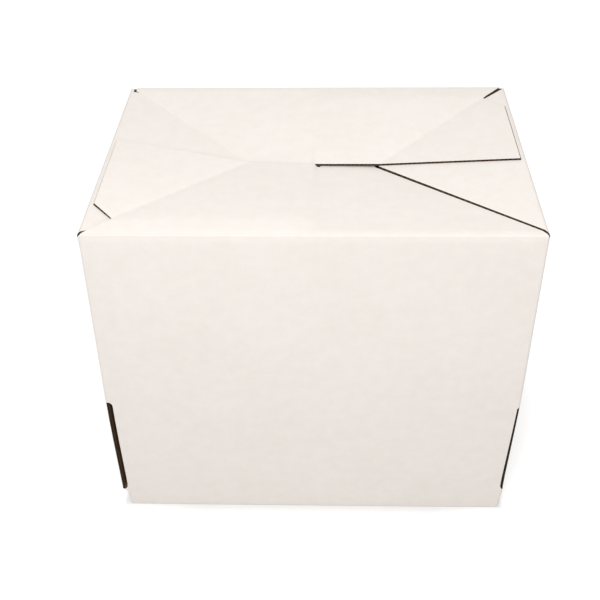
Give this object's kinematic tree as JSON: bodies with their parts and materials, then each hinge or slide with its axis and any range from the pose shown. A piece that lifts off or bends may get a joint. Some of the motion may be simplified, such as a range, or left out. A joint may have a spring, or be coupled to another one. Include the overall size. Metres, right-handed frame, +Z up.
{
  "type": "corrugated shipping box",
  "caption": "White-faced corrugated box standing on its closed tuck-in lid, with a folded crash-lock base on top and lock slots in the front corners.",
  "frame": {"origin": "centre of the footprint on the floor, under the closed lid", "axes": "+X along the long walls, -Y out of the front wall with the lock slots, +Z up through the folded base"},
  "size_m": [0.3179, 0.214, 0.28],
  "materials": {
    "white_faced_board": "matt white liner outside, brown liner inside"
  },
  "bodies": {
    "box": {"box_body": "white_faced_board"},
    "lid": {"lid": "white_faced_board"}
  },
  "joints": [
    {"name": "lid_hinge", "type": "hinge", "parent": "box", "child": "lid", "pos_m": [0, 0.107, 0], "axis": [1, 0, 0], "range_deg": [0, 180]}
  ]
}
